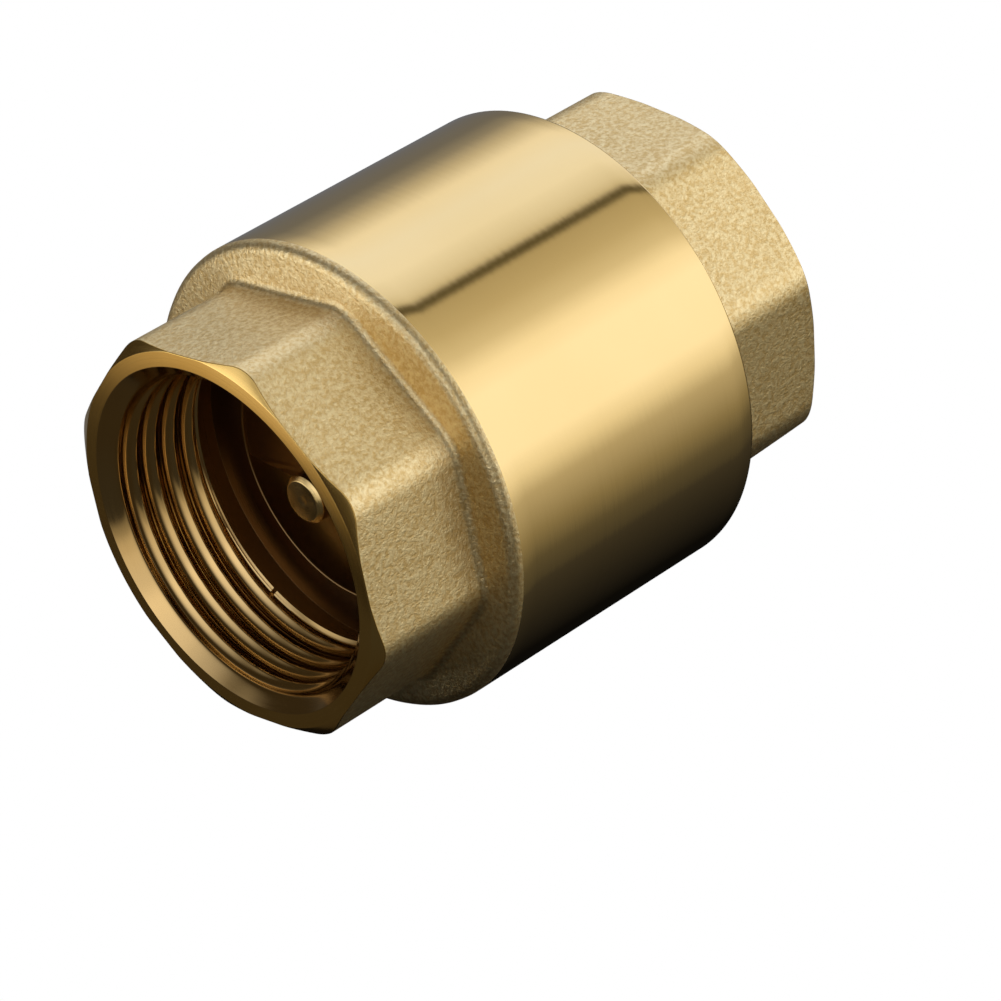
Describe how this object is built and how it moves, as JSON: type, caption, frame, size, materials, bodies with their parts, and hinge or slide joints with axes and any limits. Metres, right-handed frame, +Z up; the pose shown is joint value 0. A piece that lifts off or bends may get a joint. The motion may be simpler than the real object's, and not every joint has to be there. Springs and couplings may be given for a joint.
{
  "type": "check valve",
  "caption": "In-line brass spring check valve: octagonal threaded sockets, turned barrel, sliding sealing disc on a guided stem, coil return spring.",
  "frame": {"origin": "middle of the valve on its flow axis, which is the centre of its bounding box; the valve lies on the side of its barrel", "axes": "+X along the flow from inlet to outlet, +Z up, +Y along the arms of the guides"},
  "size_m": [0.0582, 0.0466, 0.0466],
  "materials": {
    "forged_brass": "sand-blasted forging, matte, with turned barrel and sockets",
    "turned_brass": "turned, semi-bright",
    "rubber": "matte moulded nitrile rubber",
    "stainless_steel": "drawn spring wire"
  },
  "bodies": {
    "housing": {"inlet_body": "forged_brass", "outlet_cap": "forged_brass", "cap_gasket": "rubber"},
    "return_spring": {"spring": "stainless_steel"},
    "poppet": {"stem": "turned_brass", "clamp_disc": "turned_brass", "seal_disc": "rubber", "backing_disc": "turned_brass", "stem_nut": "turned_brass"}
  },
  "joints": [
    {"name": "poppet_spin", "type": "hinge", "parent": "housing", "child": "return_spring", "pos_m": [0, 0, -0.0005], "axis": [1, 0, 0], "continuous": true},
    {"name": "poppet_lift", "type": "slide", "parent": "return_spring", "child": "poppet", "axis": [1, 0, 0], "range_m": [0, 0.007], "stiffness_N_per_m": 300, "springref_m": -0.0067, "deforming": ["spring"]}
  ]
}
